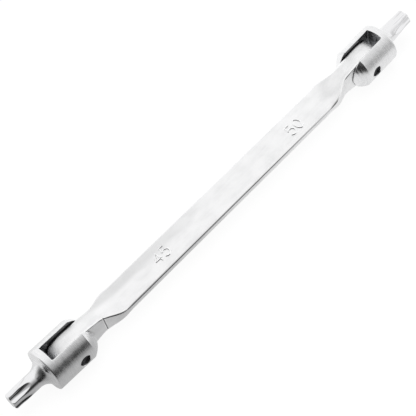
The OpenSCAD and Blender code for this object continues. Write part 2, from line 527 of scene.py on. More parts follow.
@dataclass(frozen=True)
class Finish:
    """What every finish has: a name and a metal shader that paint() fills in."""

    name: str

    def material(self) -> Material:
        """Makes the material with its metal shader and its output.

        Returns:
            The material.
        """
        made = bpy.data.materials.new(self.name)
        made.use_nodes = True
        graph = Graph(made.node_tree)
        shader = graph.node("BsdfPrincipled", {"Metallic": 1.0, **self.paint(graph)})
        graph.node("OutputMaterial", {"Surface": shader.outputs[0]})
        return made

    def paint(self, graph: Graph) -> dict[str, Any]:
        """Works out what varies over the surface, by the shader's socket names."""
        return {}


@dataclass(frozen=True)
class SatinBarChrome(Finish):
    """Satin chrome over a forged face: soft mottling, faint streaks along the bar and fine grain.

    A grey band of painted shade lies along the left edge towards the small end, the corners have a
    polish, and a painted shadow darkens the seam across the small end's tongue. Sizes and spans are in
    millimetres.
    """

    bar: "HandleBar"
    bright: Triple = (0.985, 0.985, 0.99)
    dull: Triple = (0.94, 0.942, 0.947)
    # The grey of a band of painted shade along the left edge towards the small end.
    greyer: Triple = (0.79, 0.791, 0.795)
    # The colour of the painted shadow in the seam's groove.
    dark: Triple = (0.22, 0.22, 0.225)
    smooth: float = 0.46
    rough: float = 0.6
    edge_rough: float = 0.09
    cloud: Grain = Grain((11, 6, 6), 4.0, 0.55)
    streak: Grain = Grain((12, 0.5, 0.5), 3.0, 0.6)
    grain: Grain = Grain((0.5, 0.4, 0.4), 2.0, 0.6)
    worn_share: Pair = (0.3, 0.62)
    # Spans of that band of painted shade, across and along the bar.
    shade_band_across: Pair = (0.5, 4)
    shade_band_along: Pair = (5, -60)
    corner_starts: Pair = (-1, -0.7)
    corner_ends: Pair = (-0.02, -0.12)
    # Half width of the painted shadow at the seam, and where it starts near the sides.
    seam_shadow_half: Pair = (0.3, 0.12)
    seam_shadow_starts: Pair = (-0.9, -0.4)

    def paint(self, graph: Graph) -> dict[str, Any]:
        """Mottles colour, gloss and relief.

        Args:
            graph: the material's nodes.

        Returns:
            Links by the shader's socket names.
        """
        bar, place = self.bar, graph.place()
        length, across, _ = graph.axes(place)
        cloud = graph.noise(place, self.cloud)
        streak = graph.noise(place, self.streak)
        grain = graph.noise(place, self.grain)
        worn = (0.7 * cloud + 0.3 * streak).rise(*self.worn_share)
        # Painted shade: a grey band along the left edge towards the small end, mottled by the cloud
        # noise.
        band = across.rise(*self.shade_band_across) * length.rise(*self.shade_band_along)
        dimming = band * (0.6 + 0.4 * cloud.rise(0.35, 0.65))
        widening = (HALF_SPAN - abs(length)).rise(bar.flare_start, bar.flare_end)
        past = abs(across) - (bar.tongue + (bar.half_width - bar.tongue) * widening)
        corner = past.rise(*self.corner_starts) * past.rise(*self.corner_ends)
        # Painted shadow: a thin dark stripe at the seam's groove, on the sides of the small end's tongue.
        seam_shadow_mask = abs(length + (HALF_SPAN - bar.seam)).rise(*self.seam_shadow_half) * past.rise(*self.seam_shadow_starts)
        relief = (0.55 * grain + 0.25 * streak + 0.2 * cloud) * (1 - 0.7 * corner)
        rough = self.rough - (self.rough - self.smooth) * worn + 0.06 * (grain - 0.5)
        # The band of painted shade greys the metal.
        metal = graph.blend(dimming, graph.blend(worn, self.dull, self.bright), self.greyer)
        return {
            # The seam's painted shadow darkens the colour here.
            "Base Color": graph.blend(seam_shadow_mask, metal, self.dark),
            "Roughness": rough + corner * (self.edge_rough - rough),
            "Normal": graph.bump(relief, 0.02, 0.35),
        }


@dataclass(frozen=True)
class TurnedHeadChrome(Finish):
    """Satin chrome over turned steel: rings about the axis, a polished drive end and a dull slot
    whose walls are darkened, partly by their machined finish and partly as painted shade.

    Sizes and spans are in millimetres; the spans run along the head from its pivot.
    """

    pivot: Pivot
    satin: Triple = (0.93, 0.93, 0.935)
    shaded: Triple = (0.8, 0.805, 0.815)
    polish: Triple = (0.87, 0.87, 0.88)
    # Dark grey of the slot's walls: a machined finish, darkened further as painted shade inside the slot.
    milled_and_shaded: Triple = (0.2, 0.2, 0.205)
    slot_floor: Triple = (0.9, 0.91, 0.93)
    satin_rough: float = 0.25
    polish_rough: float = 0.09
    milled_rough: float = 0.32
    fine: Grain = Grain((0.16, 4, 4), 2.0, 0.6)
    ring: Grain = Grain((0.9, 12, 12), 3.0, 0.6)
    cloud: Grain = Grain((4, 5, 5), 3.0, 0.5)
    mottle: Grain = Grain((3, 2.2, 2.2), 3.0, 0.6)
    groove: Grain = Grain((0.7, 40, 40), 2.0, 0.5)
    dome_span: Pair = (-5, -6)
    drive_span: Pair = (HEAD.shoulder + 3, HEAD.shoulder + 6)
    wall_span: Pair = (HEAD.slot + 0.06, HEAD.slot + 0.01)
    slot_span: Pair = (HEAD.floor + 0.06, HEAD.floor + 0.01)
    bottom_span: Pair = (HEAD.floor - 0.25, HEAD.floor - 0.05)

    def paint(self, graph: Graph) -> dict[str, Any]:
        """Works in the head's own coordinates, so that the rings keep to its axis.

        Args:
            graph: the material's nodes.

        Returns:
            Links by the shader's socket names.
        """
        turn = HEAD.tilt if self.pivot.end is End.LARGE else math.pi - HEAD.tilt
        place = graph.place(turn, self.pivot.place)
        outward, across, _ = graph.axes(place)
        fine = graph.noise(place, self.fine)
        ring = graph.noise(place, self.ring)
        cloud = graph.noise(place, self.cloud)
        mottle = graph.noise(place, self.mottle)
        groove = graph.noise(place, self.groove) * outward.rise(*self.dome_span)
        lines = 0.5 * fine + 0.3 * ring + 0.2 * cloud
        drive = outward.rise(*self.drive_span)
        # Inside the slot the walls take the dark grey, painted shade over a machined finish; the floor
        # stays light.
        slot = abs(across).rise(*self.wall_span) * outward.rise(*self.slot_span)
        satin = graph.blend(lines.rise(0.36, 0.6), self.shaded, self.satin)
        metal = graph.blend(drive, satin, self.polish)
        bottom = outward.rise(*self.bottom_span) * (0.6 + 0.4 * mottle.rise(0.35, 0.6))
        rough = self.satin_rough + 0.16 * (lines - 0.5) + 0.3 * (mottle - 0.5)
        rough = rough + drive * (self.polish_rough - rough)
        relief = (0.3 * lines + mottle + 3.0 * groove) * (1 - 0.9 * drive)
        return {
            # The slot's painted shade darkens the colour of its walls.
            "Base Color": graph.blend(slot, metal, graph.blend(bottom, self.milled_and_shaded, self.slot_floor)),
            "Roughness": rough + slot * (self.milled_rough - rough),
            "Normal": graph.bump(relief, 0.04),
        }


@dataclass(frozen=True)
class BlackPinSteel(Finish):
    """Black oxide on a ground pin, with fine rings on its ends and rubbed spots."""

    pivot: Pivot
    black: Triple = (0.035, 0.035, 0.038)
    rubbed: Triple = (0.12, 0.12, 0.125)
    spot: Grain = Grain((1.2, 1.2, 1.2), 4.0, 0.6)
    ring_rate: float = 24.0

    def paint(self, graph: Graph) -> dict[str, Any]:
        """Rubs the oxide thin in spots and turns fine rings about the pin.

        Args:
            graph: the material's nodes.

        Returns:
            Links by the shader's socket names.
        """
        place = graph.place(0.0, self.pivot.place)
        length, _, height = graph.axes(place)
        radius = (length * length + height * height).root()
        spot = graph.noise(place, self.spot)
        ring = (radius * self.ring_rate).sine() * 0.5 + 0.5
        thin = (0.8 * spot + 0.2 * ring).rise(0.5, 0.8)
        return {
            "Base Color": graph.blend(thin, self.black, self.rubbed),
            "Roughness": 0.5 - 0.15 * thin,
            "Normal": graph.bump(0.5 * ring + 0.5 * spot, 0.01, 0.4),
        }


@dataclass(frozen=True)
class BallSteel(Finish):
    """Polished bearing steel with a faint haze of fine scratches."""

    bright: Triple = (0.66, 0.67, 0.69)
    greyer: Triple = (0.55, 0.56, 0.58)
    dimming: Grain = Grain((0.4, 0.9, 0.4), 4.0, 0.6)
    scratch: Grain = Grain((0.03, 0.6, 0.3), 2.0, 0.5)

    def paint(self, graph: Graph) -> dict[str, Any]:
        """Varies the polish over the ball.

        Args:
            graph: the material's nodes.

        Returns:
            Links by the shader's socket names.
        """
        place = graph.place()
        dimming = graph.noise(place, self.dimming)
        scratch = graph.noise(place, self.scratch)
        return {
            "Base Color": graph.blend(dimming.rise(0.35, 0.65), self.bright, self.greyer),
            "Roughness": 0.07 + 0.1 * dimming,
            "Normal": graph.bump(scratch, 0.003, 0.3),
        }


@dataclass(frozen=True)
class DrawnWireSteel(Finish):
    """Cold-drawn spring wire, with drawing streaks and a slight bronze tint."""

    bright: Triple = (0.5, 0.5, 0.51)
    tinted: Triple = (0.38, 0.36, 0.34)
    streak: Grain = Grain((0.4, 0.06, 0.4), 3.0, 0.6)
    tint: Grain = Grain((0.8, 0.8, 0.8), 2.0, 0.5)

    def paint(self, graph: Graph) -> dict[str, Any]:
        """Streaks the wire.

        Args:
            graph: the material's nodes.

        Returns:
            Links by the shader's socket names.
        """
        place = graph.place()
        streak = graph.noise(place, self.streak)
        tint = graph.noise(place, self.tint)
        share = (0.5 * streak + 0.5 * tint).rise(0.35, 0.65)
        return {
            "Base Color": graph.blend(share, self.bright, self.tinted),
            "Roughness": 0.24 + 0.16 * streak,
            "Normal": graph.bump(streak, 0.006, 0.4),
        }


def dress(piece: bpy.types.Object, material: Material, body: str, slot: str, *nodes: str) -> None:
    """Gives a piece its finish and its place in the frame, and reports it.

    Args:
        piece: the finished piece.
        material: its finish.
        body: the body that it moves with.
        slot: the record's material slot; not used.
        nodes: the solids that it stands for.
    """
    piece.data.materials.append(material)
    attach(piece, body)
    if nodes:
        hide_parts(*nodes)
    log.info("%s: %d faces on %s", piece.name, len(piece.data.polygons), body)


@dataclass
class HandleBar:
    """The forged bar: flat in the middle, with a tall, blunt-ended tongue at each pivot."""

    half_width: float = 7.9
    half_thickness: float = 1.9
    tongue: float = 4.0
    rounding: float = 1.0
    tongue_rounding: float = 0.5
    rounding_lead: float = 4.0
    facet: float = 1.22
    crown: float = 0.09
    knuckle: float = 7.5
    nose: float = 9.5
    blunt: float = 3.0
    neck: float = 32.0
    neck_run: Pair = (0.625, 0.75)
    neck_hold: float = 0.84
    flare_start: float = 14.5
    flare_end: float = 28.0
    pin_bore: float = 2.75
    ball_bore: float = 1.3
    ball_place: float = 5.6
    seam: float = 17.7
    seam_depth: float = 0.22
    seam_width: float = 0.26
    seam_margin: float = 0.5
    side_columns: int = 32
    face_columns: int = 28
    corner_columns: int = 7
    nose_rows: int = 24
    pin_row: int = 12
    block_edges: Pair = (3.6, 7.8)
    block_rows: tuple[int, int] = (8, 12)
    neck_rows: tuple[int, int, int] = (20, 16, 30)
    flat_rows: int = 22
    curve_samples: int = 4001
    bore_loops: int = 5

    def width_at(self, distance: Array) -> Array:
        """Half of the width: a half cosine wave from tongue to bar along the flare."""
        share = np.clip((distance - self.flare_start) / (self.flare_end - self.flare_start), 0, 1)
        return self.tongue + (self.half_width - self.tongue) * (1 - np.cos(np.pi * share)) / 2

    def edge(self) -> tuple[Array, Array, Array, Array]:
        """The upper outline in side view, from the tip of one nose to the middle of the bar.

        The nose is a quarter of the blunt oval |x / nose|^blunt + |z / knuckle|^blunt = 1 about the
        pivot, and the neck is a cubic curve from the top of the knuckle to the face of the bar.

        Returns:
            Distance inward and height of each station, and the two parts of its outward normal.
        """
        angle = np.pi / 2 * smooth_step(0, 1, np.linspace(0, 1, self.nose_rows + 1))
        out, up = np.cos(angle) ** (2 / self.blunt), np.sin(angle) ** (2 / self.blunt)
        lean_x, lean_z = out ** (self.blunt - 1) / self.nose, up ** (self.blunt - 1) / self.knuckle
        lean = np.hypot(lean_x, lean_z)
        before, after = self.seam - self.seam_margin, self.seam + self.seam_margin
        marks = (0.0, *self.block_edges, before, after, self.neck)
        wanted = steps(*marks, counts=(*self.block_rows, *self.neck_rows))[1:]
        low = self.half_thickness
        runs = (0, *(share * self.neck for share in self.neck_run), self.neck)
        heights = (self.knuckle, self.neck_hold * self.knuckle, low, low)
        along, level = self.cubic(*runs), self.cubic(*heights)
        share = np.linspace(0, 1, self.curve_samples)
        t = np.interp(wanted, along(share), share)
        run, fall = along.deriv()(t), level.deriv()(t)
        length = np.hypot(run, fall)
        flat = np.linspace(self.neck, HALF_SPAN, self.flat_rows + 1)[1:]
        distance = np.concatenate([-self.nose * out, wanted, flat])
        height = np.concatenate([self.knuckle * up, level(t), np.full_like(flat, low)])
        normal_x = np.concatenate([-lean_x / lean, -fall / length, np.zeros_like(flat)])
        normal_z = np.concatenate([lean_z / lean, run / length, np.ones_like(flat)])
        return distance, height, normal_x, normal_z

    @staticmethod
    def cubic(a: float, b: float, c: float, d: float) -> np.polynomial.Polynomial:
        """A Bezier cubic of four control values, as a polynomial of its parameter from 0 to 1."""
        return np.polynomial.Polynomial([a, 3 * (b - a), 3 * (a - 2 * b + c), d - 3 * c + 3 * b - a])

    def columns(self) -> Array:
        """What sets each column of the ring around the bar, from the left side over the top to the right.

        A corner is a quarter of the oval of sin^facet and cos^facet, which a facet above 1 flattens. The
        lower half is the upper one turned about the bar's length.

        Returns:
            In four rows, the share of the flat width, the share of the rounding added to the side, the
            share of the rounding taken off the outline, and the level from 1, above, to -1, below.
        """
        bend = np.linspace(0, np.pi / 2, self.corner_columns + 1)
        out, drop = np.sin(bend) ** self.facet, 1 - np.cos(bend) ** self.facet
        side = np.linspace(-1, 1, self.side_columns + 1)
        face = np.linspace(1, -1, self.face_columns + 1)[1:]
        corner, beside, none = np.ones(self.corner_columns), np.ones_like(side), np.zeros_like(face)
        upper = np.array([np.concatenate(runs) for runs in (
            (beside, corner, face, -corner),
            (beside, out[-2::-1], none, -out[1:]),
            (beside, drop[-2::-1], none, drop[1:]),
            (side, corner, none + 1, corner),
        )])
        turned_over = upper[:, 1:-1] * np.array([[-1], [-1], [1], [-1]])
        return np.concatenate([upper, turned_over], axis=1)

    def half_shell(self, end: End) -> Array:
        """One half of the bar, from the tip of its nose to the middle, in the bar's own coordinates.

        A point is its outline point moved inward along the normal by the rounding's and the crown's
        share, its level scales the height, and y is the share of the flat width plus the rounding's
        share. The long edges are crisp on the tongues and rounder on the bar, and the tongues have no
        crown. At the small end a shallow bell-shaped groove crosses the sides where the flats end.

        Args:
            end: which half.

        Returns:
            A grid of stations by columns by 3.
        """
        distance, height, normal_x, normal_z = (part[:, None] for part in self.edge())
        flat, add, take, level = self.columns()
        fullness = smooth_step(self.flare_start - self.rounding_lead, self.flare_end, distance)
        rounding = self.tongue_rounding + (self.rounding - self.tongue_rounding) * fullness
        crown = self.crown * smooth_step(self.flare_start, self.neck, distance)
        inward = take * rounding + crown * flat**2
        x = distance - normal_x * inward
        depth = self.seam_depth if end is End.SMALL else 0.0
        groove = depth * np.exp(-(((x - self.seam) / self.seam_width) ** 2))
        y = flat * (self.width_at(x) - rounding) + add * (rounding - groove)
        return np.stack([x, y, level * (height - normal_z * inward)], axis=-1)

    def bores(self, skin: Skin, shell: Array, gaps: Sequence[tuple[Gap, Gap, float, float]]) -> None:
        """Closes the gaps in the tongue's sides with round bores that go through it.

        Args:
            skin: collects the grids.
            shell: the half bar's grid.
            gaps: for each bore the gap on the left and on the right, its place and its radius.
        """
        for left, right, middle, radius in gaps:
            near, turn, far, far_turn = hole_loops(shell, left, right, middle)
            near_ring = circle(radius, turn, self.tongue, middle)
            far_ring = circle(radius, far_turn, -self.tongue, middle)
            skin.add(fan(near, near_ring, self.bore_loops, lambda x, z: self.width_at(x)), ring=True)
            skin.add(fan(far, far_ring, self.bore_loops, lambda x, z: -self.width_at(x)), ring=True)
            skin.add(np.stack([near_ring, far_ring]), ring=True)

    def build(self, material: Material) -> None:
        """Builds the bar from two half shells and dresses it.

        Args:
            material: the bar's finish.
        """
        second = self.nose_rows + self.block_rows[0]
        third = second + self.block_rows[1]
        low, high = self.side_columns // 8, self.side_columns - self.side_columns // 8
        shift = self.side_columns + 2 * self.corner_columns + self.face_columns
        gaps = [
            (Gap(a, b, low, high), Gap(a, b, low + shift, high + shift), middle, radius)
            for a, b, middle, radius in (
                (self.pin_row, second, 0.0, self.pin_bore),
                (second, third, self.ball_place, self.ball_bore),
            )
        ]
        skin = Skin()
        for end in End:
            skin.place = Pivot(end).on_bar
            shell = self.half_shell(end)
            skin.add(shell, ring=True, gaps=[gap for pair in gaps for gap in pair[:2]])
            self.bores(skin, shell, gaps)
        dress(skin.sew("forged_bar"), material, "handle", "satin_chrome_bar", "handle_bar")


@dataclass
class SwivelHead:
    """One slotted head with its six-lobe drive end, in one piece."""

    end: End
    lobe: float
    flute: float
    flute_radius: float
    flute_length: float
    neck: float
    roll: float
    edge_break: float = 0.35
    edge_share: float = 0.3
    fade: float = 0.8
    sliver: float = 0.02
    neck_taper: float = 3.0
    neck_spread: float = 0.4
    runout_radius: float = 28.0
    runout_lead: float = 0.25
    flute_blend: float = 0.05
    tip_chamfer: float = 0.6
    tip_margin: float = 0.1
    tip_blend: float = 0.03
    tip_rings: tuple[float, ...] = (0.985, 0.95, 0.85, 0.65, 0.4, 0.15, 0.0)
    arc_columns: int = 80
    wall_columns: int = 64
    corner_columns: int = 6
    floor_columns: int = 28
    dome_rows: int = 26
    rear_rows: int = 2
    block_half: float = 5.0
    block_rows: int = 32
    front_rows: tuple[int, int] = (12, 4)
    profile_rows: tuple[int, int, int, int] = (5, 7, 28, 7)
    drive_rows: tuple[int, int, int] = (44, 18, 8)
    outer_loops: int = 8
    inner_loops: int = 6
    rim_rounds: int = 12

    def stations(self) -> Array:
        """Places along a cheek, from the rear end of its dome to the floor of the slot.

        Returns:
            The places along d: even angles on the dome, then even steps.
        """
        rear = math.sqrt(HEAD.dome**2 - HEAD.slot**2)
        dome = -rear * np.cos(np.linspace(0, math.acos(HEAD.cheek_reach / rear), self.dome_rows + 1))
        marks = (-HEAD.cheek_reach, -self.block_half, self.block_half, HEAD.floor - self.fade, HEAD.floor)
        front = steps(*marks, counts=(self.rear_rows, self.block_rows, *self.front_rows))
        return np.concatenate([dome[:-1], front])

    def cheek(self) -> Array:
        """One cheek as a loft along d of a circle's segment beyond the slot.

        The outer arc has the radius of the dome's sphere or of the cylinder, the wall lies at half of the
        slot's width, and both corners are rounded by an arc that touches the wall and the outer arc. The
        rounding fades out at the dome's end and at the floor of the slot. Each outline is worked out as
        complex numbers, y + i h.

        Returns:
            A grid of stations by columns by 3 in d, y, h; its columns run round the segment.
        """
        d = self.stations()[:, None]
        sphere = np.sqrt(np.maximum(HEAD.dome**2 - d**2, HEAD.slot**2))
        radius = np.where(d < 0, np.minimum(sphere, HEAD.radius), HEAD.radius)
        fade = np.clip((HEAD.floor - d) / self.fade, 0, 1)
        bend = np.minimum(self.edge_break * fade, self.edge_share * (radius - HEAD.slot))
        middle_y = HEAD.slot + bend
        middle = middle_y + 1j * np.sqrt(np.maximum((radius - bend) ** 2 - middle_y**2, 0))
        limit = np.angle(middle)
        arc = radius * np.exp(1j * limit * np.linspace(-1, 1, self.arc_columns + 1))
        turn = limit + (np.pi - limit) * np.linspace(0, 1, self.corner_columns + 1)[1:]
        corner = middle + bend * np.exp(1j * turn)
        wall = HEAD.slot + 1j * middle.imag * np.linspace(1, -1, self.wall_columns + 1)[1:]
        outline = np.concatenate([arc, corner, wall, corner.conj()[:, -2::-1]], axis=1)
        return np.stack([np.broadcast_to(d, outline.shape), outline.real, outline.imag], axis=-1)

    def rim(self, turn: Array) -> Array:
        """The countersink's edge on the cylinder, where a cone of 45 degrees meets it.

        The cone is widest at the cylinder's crest. A radius gives the cylinder's drop below the crest,
        the drop gives the next radius, and a few rounds settle it.

        Args:
            turn: angle of each point about the pin.

        Returns:
            The radius at each angle.
        """
        radius = np.full_like(turn, HEAD.pin + HEAD.countersink)
        for _ in range(self.rim_rounds):
            drop = HEAD.radius - np.sqrt(HEAD.radius**2 - (radius * np.sin(turn)) ** 2)
            radius = HEAD.pin + HEAD.countersink - drop
        return np.maximum(radius, HEAD.pin + self.sliver)

    def add_cheek(self, skin: Skin, side: Side) -> None:
        """Adds a cheek with its pin hole.

        Args:
            skin: collects the grids.
            side: which cheek.
        """
        shell = self.cheek()
        first = self.dome_rows + self.rear_rows
        last = first + self.block_rows
        arc, wall = self.arc_columns, self.wall_columns
        start = arc + self.corner_columns
        outer = Gap(first, last, arc * 3 // 10, arc * 7 // 10)
        inner = Gap(first, last, start + wall // 4, start + wall * 3 // 4)
        outer_loop, turn, inner_loop, inner_turn = hole_loops(shell, outer, inner)
        rim = self.rim(turn)
        rim_ring = circle(rim, turn, np.sqrt(HEAD.radius**2 - (rim * np.sin(turn)) ** 2))
        depth = np.minimum(HEAD.radius - HEAD.countersink, rim_ring[:, 1] - self.sliver)
        bore_ring = circle(HEAD.pin, turn, depth)
        wall_ring = circle(HEAD.pin, inner_turn, HEAD.slot)
        mirror = np.array([1, side.value, 1])
        skin.add(shell * mirror, ring=True, gaps=[outer, inner])
        for grid in (
            fan(outer_loop, rim_ring, self.outer_loops, lambda d, h: np.sqrt(HEAD.radius**2 - h**2)),
            np.stack([rim_ring, bore_ring]),
            np.stack([bore_ring, wall_ring]),
            fan(inner_loop, wall_ring, self.inner_loops, lambda d, h: np.full_like(d, HEAD.slot)),
        ):
            skin.add(grid * mirror, ring=True)

    def lobes(self, turn: Array) -> Array:
        """Outline of the six lobes as a radius: flute arcs from outside that run over into lobe arcs.

        Args:
            turn: angle of each column from +Y towards up.

        Returns:
            The radius at each angle.
        """
        half = math.pi / 6
        reach = self.flute + self.flute_radius
        along = reach * math.cos(half)
        spread = self.lobe**2 + reach**2 - 2 * self.lobe * along
        bend = (spread - self.flute_radius**2) / (2 * (self.lobe + self.flute_radius - along))
        centre = self.lobe - bend
        share = bend / (bend + self.flute_radius)
        lobe_point = centre * np.exp(1j * half)
        limit = float(np.angle(lobe_point + share * (reach - lobe_point)))
        beside = np.abs((turn + math.radians(self.roll) + half) % (2 * half) - half)
        inside = np.maximum(self.flute_radius**2 - (reach * np.sin(beside)) ** 2, 0)
        hollow = reach * np.cos(beside) - np.sqrt(inside)
        past = half - beside
        ridge = centre * np.cos(past) + np.sqrt(np.maximum(bend**2 - (centre * np.sin(past)) ** 2, 0))
        return np.where(beside < limit, hollow, ridge)

    def turned_profile(self) -> tuple[Array, Array]:
        """Outline of ring, rounded rim, land, concave flare and neck, up to where the flutes begin.

        Returns:
            Places along d and the radius at each.
        """
        flare = HEAD.radius - HEAD.rim - HEAD.land - self.neck
        edge, front = HEAD.shoulder - HEAD.rim, HEAD.shoulder
        ring_rows, rim_rows, flare_rows, neck_rows = self.profile_rows
        quarter = np.linspace(0, np.pi / 2, rim_rows + 1)
        hollow = np.linspace(0, np.pi / 2, flare_rows + 1)
        ring = np.linspace(HEAD.floor, edge, ring_rows + 1)[:-1]
        neck = np.linspace(front + flare, self.runout_start, neck_rows + 1)[1:]
        runs = (
            (ring, np.full_like(ring, HEAD.radius)),
            (edge + HEAD.rim * np.sin(quarter), HEAD.radius - HEAD.rim * (1 - np.cos(quarter))),
            ([front], [HEAD.radius - HEAD.rim - HEAD.land / 2]),
            (front + flare * (1 - np.cos(hollow)), self.neck + flare * (1 - np.sin(hollow))),
            (neck, np.full_like(neck, self.neck)),
        )
        d, radius = (np.concatenate(parts) for parts in zip(*runs))
        return d, radius

    @property
    def runout_level(self) -> float:
        """Where the straight flutes begin."""
        return HEAD.tip - self.flute_length

    @property
    def runout_start(self) -> float:
        """Where the flutes' run-out first cuts into the neck."""
        bottom = self.runout_radius - (self.neck - self.flute)
        return self.runout_level - math.sqrt(self.runout_radius**2 - bottom**2) - self.runout_lead

    def drive(self, turn: Array) -> tuple[Array, Array]:
        """The fluted part of the drive end.

        Below the level of the straight flutes the lobes' outline grows outward on the run-out's arc, and
        the tapered neck cuts it off, so each flute ends in a point. A cone of 45 degrees breaks the tip.

        Args:
            turn: angle of each column from +Y towards up.

        Returns:
            Places along d, rows by 1, and the radius, rows by columns.
        """
        level, tip = self.runout_level, HEAD.tip
        marks = (self.runout_start, level, tip - self.tip_chamfer - self.tip_margin, tip)
        d = steps(*marks, counts=self.drive_rows)[:, None]
        below = np.clip(level - d, 0, self.runout_radius)
        rise = self.runout_radius - np.sqrt(self.runout_radius**2 - below**2)
        taper = np.clip((level - d) / self.neck_taper, 0, 1)
        neck = self.lobe + taper * (self.neck - self.lobe) + self.neck_spread * np.maximum(d - level, 0)
        fluted = soft_min(neck, self.lobes(turn) + rise, self.flute_blend)
        cone = self.lobe + tip - self.tip_chamfer - d
        return d, soft_min(fluted, cone, self.tip_blend)

    def add_drive(self, skin: Skin) -> None:
        """Adds ring, flare, neck and drive end as one grid turned about the axis, with the tip's face.

        Args:
            skin: collects the grids.
        """
        limit = math.acos(HEAD.slot / HEAD.radius)
        count, between = self.arc_columns, self.floor_columns
        marks = (-limit, limit, np.pi - limit, np.pi + limit, 2 * np.pi - limit)
        turn = steps(*marks, counts=(count, between, count, between))[:-1]
        d, radius = (part[:, None] for part in self.turned_profile())
        end_d, end_radius = self.drive(turn)
        face = np.array(self.tip_rings)[:, None]
        radius = np.concatenate([radius + 0 * turn, end_radius, face * end_radius[-1]])
        d = np.broadcast_to(np.concatenate([d, end_d, np.full_like(face, HEAD.tip)]), radius.shape)
        skin.add(np.stack([d, radius * np.cos(turn), radius * np.sin(turn)], axis=-1), ring=True)

    def add_floor(self, skin: Skin) -> None:
        """Adds the flat floor of the slot, between the cylinder's upper and lower arc.

        Args:
            skin: collects the grids.
        """
        limit = math.acos(HEAD.slot / HEAD.radius)
        turn = np.linspace(limit, np.pi - limit, self.floor_columns + 1)
        share = np.linspace(1, -1, self.wall_columns + 1)[:, None]
        h = share * HEAD.radius * np.sin(turn)
        y = np.broadcast_to(HEAD.radius * np.cos(turn), h.shape)
        skin.add(np.stack([np.full_like(h, HEAD.floor), y, h], axis=-1))

    def build(self) -> None:
        """Builds the head and dresses it."""
        pivot = Pivot(self.end)
        skin = Skin(pivot.on_head)
        for side in Side:
            self.add_cheek(skin, side)
        self.add_floor(skin)
        self.add_drive(skin)
        size = self.end.value
        chrome = TurnedHeadChrome(f"turned_head_chrome_{size}", pivot).material()
        piece = skin.sew(f"turned_head_{size}")
        dress(piece, chrome, self.end.body, "satin_chrome_head", f"swivel_head_{size}")


@dataclass
class PivotPin:
    """The cross pin that is pressed into a head's cheeks."""

    end: End
    half_length: float = 9.25
    chamfer: float = 0.4
    face_rings: tuple[float, ...] = (0.0, 0.3, 0.6, 0.85, 0.97, 1.0)
    body_rows: int = 24
    columns: int = 72

    def build(self) -> None:
        """Turns the pin's outline about Y, with chamfered ends, and dresses it."""
        edge = self.half_length - self.chamfer
        end_radius = np.append(np.array(self.face_rings) * (HEAD.pin - self.chamfer), HEAD.pin)
        end_y = np.append(np.full(len(self.face_rings), -self.half_length), -edge)
        body = np.linspace(-edge, edge, self.body_rows + 1)[1:-1]
        radius = np.concatenate([end_radius, np.full_like(body, HEAD.pin), end_radius[::-1]])
        y = np.concatenate([end_y, body, -end_y[::-1]])
        pivot = Pivot(self.end)
        skin = Skin(pivot.on_head)
        skin.add(circle(radius[:, None], full_turn(self.columns), y[:, None]), ring=True)
        size = self.end.value
        steel = BlackPinSteel(f"black_pin_steel_{size}", pivot).material()
        dress(skin.sew(f"cross_pin_{size}"), steel, self.end.body, "dark_pin_steel", f"pivot_pin_{size}")


@dataclass
class FrictionBrake:
    """Two balls with a spring between them in a tongue's cross bore."""

    end: End
    place: float = HandleBar.ball_place
    ball: float = 1.25
    ball_centre: float = 3.01
    wire: float = 0.2
    coil: float = 1.0
    coils: float = 3.5
    half_length: float = 1.892
    ball_rows: int = 32
    ball_columns: int = 64
    wire_rows: int = 168
    wire_columns: int = 20
    cap_rows: int = 5

    def build_ball(self, side: Side, material: Material) -> None:
        """Builds one ball as a grid of circles about Y and dresses it.

        Args:
            side: which end of the spring.
            material: the balls' finish.
        """
        high = np.linspace(0, np.pi, self.ball_rows + 1)[:, None]
        radius, y = self.ball * np.sin(high), side.value * self.ball_centre + self.ball * np.cos(high)
        skin = Skin(Pivot(self.end).on_bar)
        skin.add(circle(radius, full_turn(self.ball_columns), y, self.place), ring=True)
        name = f"{self.end.value}_{side.name.lower()}"
        dress(skin.sew(f"brake_ball_{name}"), material, "handle", "ball_steel", f"friction_ball_{name}")

    def build_spring(self, material: Material) -> None:
        """Builds the spring as a round wire carried along a helix about Y, with rounded ends.

        Args:
            material: the spring's finish.
        """
        share = np.linspace(0, 1, self.wire_rows + 1)
        angle = 2 * np.pi * self.coils * share
        slope = math.atan(2 * self.half_length / (2 * np.pi * self.coil * self.coils))
        flip, none = -self.end.outward, np.zeros_like(share)
        outward = np.stack([np.sin(angle), none, flip * np.cos(angle)], axis=1)
        level = np.stack([np.cos(angle), none, -flip * np.sin(angle)], axis=1)
        forward = math.cos(slope) * level + np.array([0, math.sin(slope), 0])
        upward = np.cross(forward, outward)
        along = np.stack([none + self.place, self.half_length * (2 * share - 1), none], axis=1)
        cap = np.sin(np.linspace(0, np.pi / 2, self.cap_rows))
        full = np.concatenate([cap, np.ones(len(share) - 2 * self.cap_rows), cap[::-1]])[:, None, None]
        turn = full_turn(self.wire_columns)[None, :, None]
        section = np.cos(turn) * outward[:, None] + np.sin(turn) * upward[:, None]
        skin = Skin(Pivot(self.end).on_bar)
        skin.add((self.coil * outward + along)[:, None] + self.wire * full * section, ring=True)
        piece = skin.sew(f"brake_spring_{self.end.value}")
        dress(piece, material, "handle", "spring_steel", f"friction_spring_{self.end.value}")


